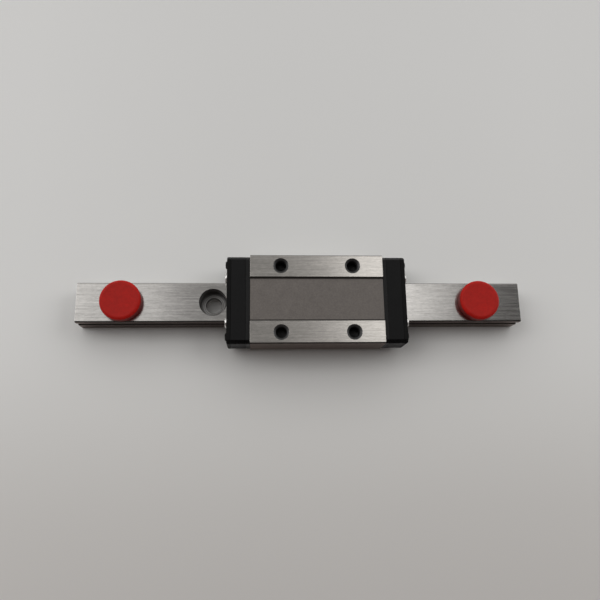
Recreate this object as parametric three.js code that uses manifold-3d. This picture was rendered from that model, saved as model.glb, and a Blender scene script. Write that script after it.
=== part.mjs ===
// Miniature ball linear guide: 9 mm profile rail with a long carriage, shown with its transit plugs.
// Units are millimetres. X runs along the rail, Z is up from the rail's underside, the origin is the
// centre of the rail's underside. Every physical piece is its own named mesh.

import * as THREE from 'three';
import { mergeVertices } from 'three/addons/utils/BufferGeometryUtils.js';
import Module from 'manifold-3d';

const wasm = await Module();
wasm.setup();

// ---------------------------------------------------------------- driving dimensions
// rail
const RAIL_LENGTH = 100;
const RAIL_WIDTH = 9;
const RAIL_HEIGHT = 6.5;
const RAIL_TOP_CHAMFER = 0.25;
const RAIL_FOOT_CHAMFER = 0.15;
const RAIL_HOLE_X = [-40, -20, 0, 20, 40];
const RAIL_BORE_R = 1.75;
const RAIL_CBORE_R = 3.0;
const RAIL_CBORE_DEPTH = 3.5;

// ball circuit
const BALL_R = 0.794;
const BALL_COUNT = 42;
const BALL_Z = 4.1;
const LOADED_Y = 4.75;
const RETURN_Y = 7.75;
const TURN_R = (RETURN_Y - LOADED_Y) / 2;
const TURN_Y = (RETURN_Y + LOADED_Y) / 2;
const GROOVE_R = 0.85;
const PASSAGE_R = 0.9;
const TURN_PASSAGE_R = 0.88;

// retainer wire and its relief at the bottom of the rail groove
const WIRE_R = 0.2;
const WIRE_Y = 3.68;
const WIRE_SLOT_HALF = 0.33;
const WIRE_SLOT_Y = 3.33;
const WIRE_BEND_R = 0.55;
const WIRE_END_X = 3.1;
const WIRE_END_Y = 5.75;

// carriage block
const CAR_X = 3.1;
const BLOCK_LENGTH = 29.6;
const BLOCK_WIDTH = 20;
const BLOCK_TOP = 10;
const BLOCK_BOTTOM = 2;
const BLOCK_CHAMFER = 0.25;
const BLOCK_WALL_Y = 5.05;
const BLOCK_CEILING = 7.2;
const BAND_HALF = 5.0;
const BAND_SLOPE = 0.4;
const BAND_DEPTH = 0.45;
const TAP_X = 8;
const TAP_Y = 7.5;
const TAP_R = 1.35;
const TAP_MOUTH_R = 1.75;
const TAP_DEPTH = 3.0;

// end pieces, measured outward from the block's end face
const END_HALF_WIDTH = 9.85;
const END_TOP = 9.4;
const END_BOTTOM = 2.2;
const END_TOP_CHAMFER = 0.75;
const END_FOOT_CHAMFER = 0.3;
const END_WALL_Y = 4.95;
const END_CEILING = 7.15;
const PLATE_T = 0.9;
const CAP_T = 3.35;
const SEAL_T = 0.9;
const FACE_GAP = 0.02;
const LIP_GAP = 0.08;
const GREASE_R = 0.6;
const GREASE_Z = 8.2;

// end screws
const SCREW_Y = 5.05;
const SCREW_Z = 8.05;
const SCREW_R = 0.8;
const SCREW_HEAD_R = 1.15;
const SCREW_HEAD_H = 0.9;
const SCREW_SEAT = 4.72;
const SCREW_LENGTH = 8;
const SCREW_HOLE_R = 0.88;
const SCREW_POCKET_R = 1.25;
const BUMP_R = 0.85;
const BUMP_H = 0.34;
const BUMP_Y = 8.15;
const BUMP_Z = 7.8;

// rail plugs
const PLUG_X = [-40, 40];
const PLUG_HEAD_R = 4.5;
const PLUG_HEAD_H = 2.5;
const PLUG_EDGE = 0.5;
const PLUG_SHOULDER_R = 2.9;
const PLUG_STEM_R = 1.65;

// ---------------------------------------------------------------- materials
const steelGround = new THREE.MeshStandardMaterial({ color: 0xa9a6a0, roughness: 0.38, metalness: 1.0 });
const steelBlock = new THREE.MeshStandardMaterial({ color: 0x99958e, roughness: 0.42, metalness: 1.0 });
const steelBright = new THREE.MeshStandardMaterial({ color: 0xd6d7d8, roughness: 0.18, metalness: 1.0 });
const steelScrew = new THREE.MeshStandardMaterial({ color: 0xc8c8c6, roughness: 0.25, metalness: 1.0 });
const moulded = new THREE.MeshStandardMaterial({ color: 0x1a1a1b, roughness: 0.55, metalness: 0.0 });
const mouldedPlate = new THREE.MeshStandardMaterial({ color: 0x232324, roughness: 0.5, metalness: 0.0 });
const sealRubber = new THREE.MeshStandardMaterial({ color: 0x151515, roughness: 0.7, metalness: 0.0 });
const guidePlastic = new THREE.MeshStandardMaterial({ color: 0xd9d4c4, roughness: 0.5, metalness: 0.0 });
const plugRed = new THREE.MeshStandardMaterial({ color: 0x93201d, roughness: 0.55, metalness: 0.0 });

// ---------------------------------------------------------------- solid helpers
function solid(geometry) {
  let g = geometry.clone();
  g.deleteAttribute('normal');
  if (g.getAttribute('uv')) g.deleteAttribute('uv');
  g = mergeVertices(g, 1e-5);
  const m = new wasm.Manifold(new wasm.Mesh({
    numProp: 3,
    vertProperties: new Float32Array(g.getAttribute('position').array),
    triVerts: new Uint32Array(g.index.array),
  }));
  return m;
}

function toGeometry(manifold) {
  const m = manifold.getMesh();
  const g = new THREE.BufferGeometry();
  g.setAttribute('position', new THREE.BufferAttribute(new Float32Array(m.vertProperties), 3));
  g.setIndex(new THREE.BufferAttribute(new Uint32Array(m.triVerts), 1));
  g.computeVertexNormals();
  return g;
}

function cut(base, ...tools) {
  return tools.reduce((a, t) => a.subtract(t), base);
}

function mirrorX(manifold) {
  return manifold.mirror([1, 0, 0]);
}

function mirrorY(manifold) {
  return manifold.mirror([0, 1, 0]);
}

// prism along +X from x0 to x1 with an outline given as [y, z] pairs, counter-clockwise seen from +X
function prismX(outline, x0, x1) {
  const shape = new THREE.Shape(outline.map(([y, z]) => new THREE.Vector2(y, z)));
  const g = new THREE.ExtrudeGeometry(shape, { depth: x1 - x0, bevelEnabled: false, steps: 1 });
  // shape axes (x, y) and the extrusion axis z go to (Y, Z) and X
  g.applyMatrix4(new THREE.Matrix4().set(
    0, 0, 1, x0,
    1, 0, 0, 0,
    0, 1, 0, 0,
    0, 0, 0, 1,
  ));
  return g;
}

// cylinder along Z from z0 to z1
function cylZ(r, z0, z1, x, y, n = 24) {
  const g = new THREE.CylinderGeometry(r, r, z1 - z0, n);
  g.rotateX(Math.PI / 2);
  g.translate(x, y, (z0 + z1) / 2);
  return g;
}

// cylinder along X from x0 to x1
function cylX(r, x0, x1, y, z, n = 16) {
  const g = new THREE.CylinderGeometry(r, r, x1 - x0, n);
  g.rotateZ(Math.PI / 2);
  g.translate((x0 + x1) / 2, y, z);
  return g;
}

// body of revolution about Z from [radius, z] pairs that start and end on the axis
function latheZ(profile, x, y, n = 28) {
  const g = new THREE.LatheGeometry(profile.map(([r, z]) => new THREE.Vector2(r, z)), n);
  g.rotateX(Math.PI / 2);
  g.translate(x, y, 0);
  return g;
}

function box(x0, x1, y0, y1, z0, z1) {
  const g = new THREE.BoxGeometry(x1 - x0, y1 - y0, z1 - z0);
  g.translate((x0 + x1) / 2, (y0 + y1) / 2, (z0 + z1) / 2);
  return g;
}

// points on an arc about (cy, cz), angles in degrees
function arc(cy, cz, r, a0, a1, n) {
  const out = [];
  for (let i = 0; i <= n; i++) {
    const a = THREE.MathUtils.degToRad(a0 + (a1 - a0) * i / n);
    out.push([cy + r * Math.cos(a), cz + r * Math.sin(a)]);
  }
  return out;
}

// a half outline on +Y, listed from the bottom to the top, closed with its mirror on -Y
function mirrorOutline(half) {
  const left = half.map(([y, z]) => [-y, z]).reverse();
  return [...half, ...left];
}

// ---------------------------------------------------------------- group and placing
const guide = new THREE.Group();
const railGroup = new THREE.Group();
const carriageGroup = new THREE.Group();
carriageGroup.position.x = CAR_X;
guide.add(railGroup, carriageGroup);

function place(group, name, geometry, material, x = 0, y = 0, z = 0) {
  const mesh = new THREE.Mesh(geometry, material);
  mesh.name = name;
  mesh.position.set(x, y, z);
  group.add(mesh);
  return mesh;
}

// ---------------------------------------------------------------- rail
{
  const h = RAIL_WIDTH / 2;
  const mouth = THREE.MathUtils.radToDeg(Math.acos((LOADED_Y - h) / GROOVE_R));
  const relief = THREE.MathUtils.radToDeg(Math.asin(WIRE_SLOT_HALF / GROOVE_R));
  const half = [
    [h - RAIL_FOOT_CHAMFER, 0],
    [h, RAIL_FOOT_CHAMFER],
    ...arc(LOADED_Y, BALL_Z, GROOVE_R, 180 + mouth, 180 + relief, 4),
    [WIRE_SLOT_Y, BALL_Z - WIRE_SLOT_HALF],
    [WIRE_SLOT_Y, BALL_Z + WIRE_SLOT_HALF],
    ...arc(LOADED_Y, BALL_Z, GROOVE_R, 180 - relief, 180 - mouth, 4),
    [h, RAIL_HEIGHT - RAIL_TOP_CHAMFER],
    [h - RAIL_TOP_CHAMFER, RAIL_HEIGHT],
  ];
  let m = solid(prismX(mirrorOutline(half), -RAIL_LENGTH / 2, RAIL_LENGTH / 2));
  for (const x of RAIL_HOLE_X) {
    m = cut(m,
      solid(cylZ(RAIL_BORE_R, -1, RAIL_HEIGHT + 1, x, 0, 24)),
      solid(cylZ(RAIL_CBORE_R, RAIL_HEIGHT - RAIL_CBORE_DEPTH, RAIL_HEIGHT + 1, x, 0, 32)));
  }
  place(railGroup, 'rail', toGeometry(m), steelGround);
}

// ---------------------------------------------------------------- rail plugs
{
  const seat = RAIL_HEIGHT + FACE_GAP;
  const shoulder = RAIL_HEIGHT - RAIL_CBORE_DEPTH + 0.1;
  const top = seat + PLUG_HEAD_H;
  const round = arc(PLUG_HEAD_R - PLUG_EDGE, top - PLUG_EDGE, PLUG_EDGE, 0, 90, 3);
  const profile = [
    [0, 0.4],
    [PLUG_STEM_R - 0.25, 0.4],
    [PLUG_STEM_R, 0.8],
    [PLUG_STEM_R, shoulder],
    [PLUG_SHOULDER_R - 0.1, shoulder],
    [PLUG_SHOULDER_R, seat - 0.6],
    [PLUG_SHOULDER_R, seat],
    [PLUG_HEAD_R - 0.15, seat],
    [PLUG_HEAD_R, seat + 0.15],
    ...round,
    [0, top],
  ];
  place(railGroup, 'left_rail_plug', latheZ(profile, 0, 0, 28), plugRed, PLUG_X[0], 0, 0);
  place(railGroup, 'right_rail_plug', latheZ(profile, 0, 0, 28), plugRed, PLUG_X[1], 0, 0);
}

// ---------------------------------------------------------------- carriage block
{
  const w = BLOCK_WIDTH / 2;
  const L = BLOCK_LENGTH / 2;
  const mouth = THREE.MathUtils.radToDeg(Math.acos((BLOCK_WALL_Y - LOADED_Y) / GROOVE_R));
  const half = [
    // foot beside the rail, outer side, pad, centre band
    [BLOCK_WALL_Y + 0.2, BLOCK_BOTTOM],
    [w - BLOCK_CHAMFER, BLOCK_BOTTOM],
    [w, BLOCK_BOTTOM + BLOCK_CHAMFER],
    [w, BLOCK_TOP - BLOCK_CHAMFER],
    [w - BLOCK_CHAMFER, BLOCK_TOP],
    [BAND_HALF, BLOCK_TOP],
    [BAND_HALF - BAND_SLOPE, BLOCK_TOP - BAND_DEPTH],
  ];
  const halfInner = [
    // channel, from the ceiling down the wall and through the ball groove to the foot
    [BLOCK_WALL_Y - 0.5, BLOCK_CEILING],
    [BLOCK_WALL_Y, BLOCK_CEILING - 0.5],
    ...arc(LOADED_Y, BALL_Z, GROOVE_R, mouth, -mouth, 8),
    [BLOCK_WALL_Y, BLOCK_BOTTOM + 0.2],
  ];
  const outline = [
    ...half,
    ...half.map(([y, z]) => [-y, z]).reverse(),
    ...halfInner.map(([y, z]) => [-y, z]).reverse(),
    ...halfInner,
  ];
  let m = solid(prismX(outline, -L, L));
  for (const sy of [-1, 1]) {
    m = cut(m, solid(cylX(PASSAGE_R, -L - 1, L + 1, sy * RETURN_Y, BALL_Z, 16)));
    for (const sx of [-1, 1]) {
      // tapped mounting hole with its countersunk mouth and drill point
      const hole = latheZ([
        [0, BLOCK_TOP - TAP_DEPTH - 0.6],
        [TAP_R, BLOCK_TOP - TAP_DEPTH],
        [TAP_R, BLOCK_TOP - (TAP_MOUTH_R - TAP_R)],
        [TAP_MOUTH_R, BLOCK_TOP],
        [TAP_MOUTH_R, BLOCK_TOP + 1],
        [0, BLOCK_TOP + 1],
      ], sx * TAP_X, sy * TAP_Y, 24);
      // tapped hole for the end screw
      const x0 = sx > 0 ? L - 3.7 : -L - 1;
      m = cut(m, solid(hole), solid(cylX(SCREW_HOLE_R, x0, x0 + 4.7, sy * SCREW_Y, SCREW_Z, 12)));
    }
  }
  place(carriageGroup, 'carriage_block', toGeometry(m), steelBlock);
}

// ---------------------------------------------------------------- end pieces, built for the +X end
const endHalf = [
  [END_WALL_Y + 0.15, END_BOTTOM],
  [END_HALF_WIDTH - END_FOOT_CHAMFER, END_BOTTOM],
  [END_HALF_WIDTH, END_BOTTOM + END_FOOT_CHAMFER],
  [END_HALF_WIDTH, END_TOP - END_TOP_CHAMFER],
  [END_HALF_WIDTH - END_TOP_CHAMFER, END_TOP],
];
const endInner = [
  [END_WALL_Y - 0.5, END_CEILING],
  [END_WALL_Y, END_CEILING - 0.5],
  [END_WALL_Y, END_BOTTOM + 0.15],
];
const endOutline = [
  ...endHalf,
  ...endHalf.map(([y, z]) => [-y, z]).reverse(),
  ...endInner.map(([y, z]) => [-y, z]).reverse(),
  ...endInner,
];

// ball turnaround as a full ring about a vertical axis at the block's end face
function turnRing(sy) {
  const g = new THREE.TorusGeometry(TURN_R, TURN_PASSAGE_R, 10, 24);
  g.translate(0, sy * TURN_Y, BALL_Z);
  return solid(g);
}

function endScrewHoles(m, r, x0, x1) {
  return cut(m,
    solid(cylX(r, x0, x1, SCREW_Y, SCREW_Z, 16)),
    solid(cylX(r, x0, x1, -SCREW_Y, SCREW_Z, 16)));
}

function guidePocket(sy) {
  return solid(cylZ(TURN_R - 0.02, BALL_Z - TURN_PASSAGE_R - 0.02, BALL_Z + TURN_PASSAGE_R + 0.02, 0, sy * TURN_Y, 24));
}

// return plate
let plate = solid(prismX(endOutline, FACE_GAP, PLATE_T));
plate = endScrewHoles(plate, SCREW_HOLE_R, -1, 2);
for (const sy of [-1, 1]) plate = cut(plate, turnRing(sy), guidePocket(sy));

// end cap
let cap = solid(prismX(endOutline, PLATE_T + FACE_GAP, PLATE_T + CAP_T));
cap = endScrewHoles(cap, SCREW_HOLE_R, 0, 5);
cap = cut(cap, solid(cylX(GREASE_R, 0, 5, 0, GREASE_Z, 12)));
for (const sy of [-1, 1]) {
  cap = cut(cap, turnRing(sy), guidePocket(sy));
  const y0 = sy > 0 ? 4 : -(WIRE_END_Y + 0.25);
  const y1 = sy > 0 ? WIRE_END_Y + 0.25 : -4;
  cap = cut(cap, solid(box(WIRE_END_X - WIRE_R - 0.12, WIRE_END_X + WIRE_R + 0.12, y0, y1, BALL_Z - 0.32, BALL_Z + 0.32)));
}

// end seal: its opening follows the rail section, with noses that reach into the grooves
const sealX0 = PLATE_T + CAP_T + FACE_GAP;
const sealX1 = PLATE_T + CAP_T + SEAL_T;
const lipY = RAIL_WIDTH / 2 + LIP_GAP;
const noseR = GROOVE_R - LIP_GAP;
const noseMouth = THREE.MathUtils.radToDeg(Math.acos((LOADED_Y - lipY) / noseR));
const sealInner = [
  [lipY - RAIL_TOP_CHAMFER, RAIL_HEIGHT + LIP_GAP],
  [lipY, RAIL_HEIGHT - RAIL_TOP_CHAMFER + LIP_GAP / 2],
  ...arc(LOADED_Y, BALL_Z, noseR, 180 - noseMouth, 180 + noseMouth, 6),
  [lipY, END_BOTTOM],
];
const sealOutline = [
  ...endHalf.slice(1),
  ...endHalf.slice(1).map(([y, z]) => [-y, z]).reverse(),
  ...sealInner.map(([y, z]) => [-y, z]).reverse(),
  ...sealInner,
];
let seal = solid(prismX(sealOutline, sealX0, sealX1));
// soft corners seen from above
for (const sy of [-1, 1]) {
  const trim = new THREE.Shape([
    new THREE.Vector2(sealX1 - 0.4, sy * (END_HALF_WIDTH + 1)),
    new THREE.Vector2(sealX1 - 0.4, sy * END_HALF_WIDTH),
    new THREE.Vector2(sealX1 - 0.12, sy * (END_HALF_WIDTH - 0.12)),
    new THREE.Vector2(sealX1, sy * (END_HALF_WIDTH - 0.4)),
    new THREE.Vector2(sealX1 + 1, sy * (END_HALF_WIDTH - 0.4)),
    new THREE.Vector2(sealX1 + 1, sy * (END_HALF_WIDTH + 1)),
  ]);
  const g = new THREE.ExtrudeGeometry(trim, { depth: 14, bevelEnabled: false });
  seal = cut(seal, solid(g));
  // moulded bumps outside the screws
  const bump = latheZ([
    [0, -0.4], [BUMP_R, -0.4], [BUMP_R, BUMP_H - 0.2], [BUMP_R - 0.25, BUMP_H], [0, BUMP_H],
  ], 0, 0, 16);
  bump.rotateY(Math.PI / 2);
  bump.translate(sealX1, sy * BUMP_Y, BUMP_Z);
  seal = seal.add(solid(bump));
}
seal = endScrewHoles(seal, SCREW_HOLE_R, 3, 6);
for (const sy of [-1, 1]) {
  seal = cut(seal, solid(cylX(SCREW_POCKET_R, SCREW_SEAT - 0.02, 6, sy * SCREW_Y, SCREW_Z, 20)));
}
seal = cut(seal, solid(cylX(GREASE_R, 3, 6, 0, GREASE_Z, 12)));

// half-round insert that turns the balls between the loaded row and the return passage
let insert = solid(cylZ(TURN_R - 0.05, BALL_Z - TURN_PASSAGE_R + 0.01, BALL_Z + TURN_PASSAGE_R - 0.01, 0, TURN_Y, 24));
insert = cut(insert, solid(box(-3, FACE_GAP, TURN_Y - 3, TURN_Y + 3, 0, 8)), turnRing(1));

// end screw: head outward (+X), cross recess, plain shank standing for the thread
const screwProfile = [
  [0, SCREW_SEAT + SCREW_HEAD_H],
  [SCREW_HEAD_R - 0.25, SCREW_SEAT + SCREW_HEAD_H],
  [SCREW_HEAD_R - 0.07, SCREW_SEAT + SCREW_HEAD_H - 0.07],
  [SCREW_HEAD_R, SCREW_SEAT + SCREW_HEAD_H - 0.22],
  [SCREW_HEAD_R, SCREW_SEAT],
  [SCREW_R, SCREW_SEAT],
  [SCREW_R, SCREW_SEAT - SCREW_LENGTH + 0.35],
  [SCREW_R - 0.3, SCREW_SEAT - SCREW_LENGTH],
  [0, SCREW_SEAT - SCREW_LENGTH],
].reverse();
const screwBody = latheZ(screwProfile, 0, 0, 16);
screwBody.rotateY(Math.PI / 2);
let screw = solid(screwBody);
const headTop = SCREW_SEAT + SCREW_HEAD_H;
screw = cut(screw,
  solid(box(headTop - 0.42, headTop + 1, -0.7, 0.7, -0.14, 0.14)),
  solid(box(headTop - 0.42, headTop + 1, -0.14, 0.14, -0.7, 0.7)));

const E = BLOCK_LENGTH / 2;
const plateG = toGeometry(plate);
const capG = toGeometry(cap);
const sealG = toGeometry(seal);
const screwG = toGeometry(screw);
place(carriageGroup, 'right_return_plate', plateG, mouldedPlate, E);
place(carriageGroup, 'right_end_cap', capG, moulded, E);
place(carriageGroup, 'right_end_seal', sealG, sealRubber, E);
place(carriageGroup, 'left_return_plate', toGeometry(mirrorX(plate)), mouldedPlate, -E);
place(carriageGroup, 'left_end_cap', toGeometry(mirrorX(cap)), moulded, -E);
place(carriageGroup, 'left_end_seal', toGeometry(mirrorX(seal)), sealRubber, -E);
place(carriageGroup, 'right_front_end_screw', screwG, steelScrew, E, -SCREW_Y, SCREW_Z);
place(carriageGroup, 'right_rear_end_screw', screwG, steelScrew, E, SCREW_Y, SCREW_Z);
const screwLeftG = toGeometry(mirrorX(screw));
place(carriageGroup, 'left_front_end_screw', screwLeftG, steelScrew, -E, -SCREW_Y, SCREW_Z);
place(carriageGroup, 'left_rear_end_screw', screwLeftG, steelScrew, -E, SCREW_Y, SCREW_Z);
place(carriageGroup, 'right_rear_return_guide', toGeometry(insert), guidePlastic, E);
place(carriageGroup, 'right_front_return_guide', toGeometry(mirrorY(insert)), guidePlastic, E);
place(carriageGroup, 'left_rear_return_guide', toGeometry(mirrorX(insert)), guidePlastic, -E);
place(carriageGroup, 'left_front_return_guide', toGeometry(mirrorX(mirrorY(insert))), guidePlastic, -E);

// ---------------------------------------------------------------- ball rows
// The balls of a circuit joined by small necks into one closed loop, so that the row is one solid.
function ballRow(sy) {
  const straight = BLOCK_LENGTH;
  const bend = Math.PI * TURN_R;
  const total = 2 * (straight + bend);
  const pitch = total / BALL_COUNT;
  // distance along the circuit -> position and heading in the XY plane
  const at = (s) => {
    s = ((s % total) + total) % total;
    if (s < straight) return { p: [-straight / 2 + s, LOADED_Y], a: 0 };
    s -= straight;
    if (s < bend) {
      const t = s / TURN_R;
      return { p: [straight / 2 + TURN_R * Math.sin(t), TURN_Y - TURN_R * Math.cos(t)], a: t };
    }
    s -= bend;
    if (s < straight) return { p: [straight / 2 - s, RETURN_Y], a: Math.PI };
    s -= straight;
    const t = s / TURN_R;
    return { p: [-straight / 2 - TURN_R * Math.sin(t), TURN_Y + TURN_R * Math.cos(t)], a: Math.PI + t };
  };
  // one ball is three rings: a neck, then two shoulders that stand for the ball
  const ringS = [0, 0.28, 0.72];
  const ringR = [0.2, 0.74, 0.74];
  const sides = 6;
  const rings = BALL_COUNT * ringS.length;
  const g = new THREE.TorusGeometry(10, 1, sides, rings);
  const pos = g.getAttribute('position');
  for (let j = 0; j <= sides; j++) {
    for (let i = 0; i <= rings; i++) {
      const k = i % rings;
      const s = (Math.floor(k / 3) + ringS[k % 3]) * pitch;
      const r = ringR[k % 3];
      const { p, a } = at(s);
      const v = ((j % sides) / sides) * 2 * Math.PI;
      // TorusGeometry: cos(v) is outward from the ring's axis, sin(v) is up; outward is to the
      // right of an anticlockwise heading
      const out = r * Math.cos(v);
      const up = r * Math.sin(v);
      pos.setXYZ(j * (rings + 1) + i, p[0] + out * Math.sin(a), p[1] - out * Math.cos(a), up);
    }
  }
  g.translate(0, 0, BALL_Z);
  const m = solid(g);
  return toGeometry(sy > 0 ? m : mirrorY(m));
}
place(carriageGroup, 'rear_ball_row', ballRow(1), steelBright);
place(carriageGroup, 'front_ball_row', ballRow(-1), steelBright);

// ---------------------------------------------------------------- retainer wires
// a path that steps from corner point to corner point, so that the long straight run takes one step
class CornerPath extends THREE.Curve {
  constructor(points) {
    super();
    this.points = points;
  }

  getUtoTmapping(u) {
    return u;
  }

  getPoint(t, target = new THREE.Vector3()) {
    const n = this.points.length - 1;
    const i = Math.min(Math.floor(t * n), n - 1);
    return target.copy(this.points[i]).lerp(this.points[i + 1], t * n - i);
  }

  getTangent(t, target = new THREE.Vector3()) {
    const n = this.points.length - 1;
    const i = Math.round(t * n);
    const before = this.points[Math.max(i - 1, 0)];
    const here = this.points[i];
    const after = this.points[Math.min(i + 1, n)];
    target.set(0, 0, 0);
    if (i > 0) target.add(here.clone().sub(before).normalize());
    if (i < n) target.add(after.clone().sub(here).normalize());
    return target.normalize();
  }
}

function retainerWire(sy) {
  const xe = E + WIRE_END_X;
  const b = WIRE_BEND_R;
  const pts = [];
  const add = (x, y) => pts.push(new THREE.Vector3(x, sy * y, BALL_Z));
  add(-xe, WIRE_END_Y);
  for (let i = 0; i <= 5; i++) {
    const a = (i / 5) * Math.PI / 2;
    add(-xe + b * (1 - Math.cos(a)), WIRE_Y + b * (1 - Math.sin(a)));
  }
  for (let i = 0; i <= 5; i++) {
    const a = (i / 5) * Math.PI / 2;
    add(xe - b * (1 - Math.sin(a)), WIRE_Y + b * (1 - Math.cos(a)));
  }
  add(xe, WIRE_END_Y);
  const section = new THREE.Shape();
  section.absarc(0, 0, WIRE_R, 0, 2 * Math.PI, false);
  return new THREE.ExtrudeGeometry(section, {
    steps: pts.length - 1, curveSegments: 4, bevelEnabled: false, extrudePath: new CornerPath(pts),
  });
}
place(carriageGroup, 'rear_retainer_wire', retainerWire(1), steelBright);
place(carriageGroup, 'front_retainer_wire', retainerWire(-1), steelBright);

export default guide;
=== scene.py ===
import math

import bmesh
import bpy
import numpy as np
from mathutils import Matrix, Vector


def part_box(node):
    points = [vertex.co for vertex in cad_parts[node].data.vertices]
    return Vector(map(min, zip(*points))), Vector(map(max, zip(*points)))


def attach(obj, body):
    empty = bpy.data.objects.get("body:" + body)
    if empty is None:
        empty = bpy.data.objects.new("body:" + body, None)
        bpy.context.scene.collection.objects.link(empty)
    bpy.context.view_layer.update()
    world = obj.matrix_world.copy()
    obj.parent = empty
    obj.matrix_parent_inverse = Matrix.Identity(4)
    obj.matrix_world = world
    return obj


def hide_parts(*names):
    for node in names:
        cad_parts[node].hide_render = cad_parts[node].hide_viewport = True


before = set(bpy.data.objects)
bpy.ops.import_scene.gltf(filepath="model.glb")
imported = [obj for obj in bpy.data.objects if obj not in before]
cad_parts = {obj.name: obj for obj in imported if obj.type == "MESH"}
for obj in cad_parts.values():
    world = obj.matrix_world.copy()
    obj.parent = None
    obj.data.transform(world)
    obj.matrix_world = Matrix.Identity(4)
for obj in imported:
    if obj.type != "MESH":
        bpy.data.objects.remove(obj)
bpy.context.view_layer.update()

MM = 0.001


def span(node):
    lo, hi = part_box(node)
    return [v / MM for v in lo], [v / MM for v in hi]


# ------------------------------------------------------------------ sizes, in mm, from the CAD boxes
rail_lo, rail_hi = span("rail")
block_lo, block_hi = span("carriage_block")
plate_lo, plate_hi = span("right_return_plate")
cap_lo, cap_hi = span("right_end_cap")
seal_lo, seal_hi = span("right_end_seal")
plug_lo, plug_hi = span("left_rail_plug")
plug_r_lo, plug_r_hi = span("right_rail_plug")

RAIL_L = rail_hi[0] - rail_lo[0]
RAIL_W = rail_hi[1] - rail_lo[1]
RAIL_H = rail_hi[2]
RAIL_HOLES = [-40.0, -20.0, 0.0, 20.0, 40.0]
CBORE_R, CBORE_DEPTH, BORE_R = 3.0, 3.5, 1.75

CAR_X = (block_lo[0] + block_hi[0]) / 2
BLOCK_L = block_hi[0] - block_lo[0]
BLOCK_HW = block_hi[1]
BLOCK_TOP, BLOCK_BOT = block_hi[2], block_lo[2]
E = BLOCK_L / 2

BALL_R, BALL_N, BALL_Z = 0.794, 42, 4.1
LOADED_Y, RETURN_Y = 4.75, 7.75
TURN_R, TURN_Y = 1.5, 6.25
GROOVE_R = 0.85
WIRE_R, WIRE_Y, WIRE_BEND, WIRE_X, WIRE_END_Y = 0.2, 3.68, 0.55, 3.1, 5.75

END_HW = cap_hi[1]
END_TOP, END_BOT = cap_hi[2], cap_lo[2]
PLATE_X0, PLATE_X1 = plate_lo[0] - CAR_X - E, plate_hi[0] - CAR_X - E
CAP_X0, CAP_X1 = cap_lo[0] - CAR_X - E, cap_hi[0] - CAR_X - E
BUMP_H = 0.34
SEAL_X0, SEAL_X1 = seal_lo[0] - CAR_X - E, seal_hi[0] - CAR_X - E - BUMP_H
SCREW_Y, SCREW_Z, SCREW_SEAT = 5.05, 8.05, 4.72
SCREW_HEAD_R, SCREW_HEAD_H, SCREW_POCKET_R = 1.15, 0.9, 1.25
TAP_MOUTH_R = 1.75
END_CHAMFER = 0.75

PLUG_X = [(plug_lo[0] + plug_hi[0]) / 2, (plug_r_lo[0] + plug_r_hi[0]) / 2]
PLUG_HEAD_R = (plug_hi[0] - plug_lo[0]) / 2
PLUG_TOP = plug_hi[2]


# ------------------------------------------------------------------ mesh tools (everything in mm)
def arc(cy, cz, r, a0, a1, n):
    out = []
    for i in range(n + 1):
        a = math.radians(a0 + (a1 - a0) * i / n)
        out.append((cy + r * math.cos(a), cz + r * math.sin(a)))
    return out


def fillet(points, n=3):
    """points are (y, z) or (y, z, r): a corner with r is rounded with n steps."""
    out = []
    m = len(points)
    for i, p in enumerate(points):
        r = p[2] if len(p) > 2 else 0.0
        if r <= 0:
            out.append((p[0], p[1]))
            continue
        c = Vector(p[:2])
        a = Vector(points[i - 1][:2]) - c
        b = Vector(points[(i + 1) % m][:2]) - c
        la, lb = a.length, b.length
        a.normalize(), b.normalize()
        half = a.angle(b) / 2
        t = min(r / math.tan(half), la * 0.48, lb * 0.48)
        rr = t * math.tan(half)
        centre = c + (a + b).normalized() * (rr / math.sin(half))
        p0, p1 = c + a * t, c + b * t
        v0, v1 = p0 - centre, p1 - centre
        a0 = math.atan2(v0.y, v0.x)
        da = math.atan2(v0.x * v1.y - v0.y * v1.x, v0.dot(v1))
        for k in range(n + 1):
            ang = a0 + da * k / n
            out.append((centre.x + rr * math.cos(ang), centre.y + rr * math.sin(ang)))
    return out


def inset(points, d):
    """The outline moved inward by d; the outline runs anticlockwise."""
    m = len(points)
    out = []
    for i in range(m):
        p0, p, p1 = (Vector(points[(i + k) % m]) for k in (-1, 0, 1))
        e0, e1 = p - p0, p1 - p
        if e0.length < 1e-9 or e1.length < 1e-9:
            out.append(tuple(p))
            continue
        e0.normalize(), e1.normalize()
        n0, n1 = Vector((-e0.y, e0.x)), Vector((-e1.y, e1.x))
        s = n0 + n1
        k = 1 + n0.dot(n1)
        if k < 0.15:
            k = 0.15
        q = p + s * (d / k)
        out.append((q.x, q.y))
    return out


def area2(points):
    return sum(points[i - 1][0] * points[i][1] - points[i][0] * points[i - 1][1] for i in range(len(points)))


def bm_object(name, bm):
    me = bpy.data.meshes.new(name)
    bm.to_mesh(me)
    bm.free()
    ob = bpy.data.objects.new(name, me)
    bpy.context.scene.collection.objects.link(ob)
    return ob


def fix_normals(bm):
    bmesh.ops.recalc_face_normals(bm, faces=bm.faces[:])
    if bm.calc_volume(signed=True) < 0:
        bmesh.ops.reverse_faces(bm, faces=bm.faces[:])


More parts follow.
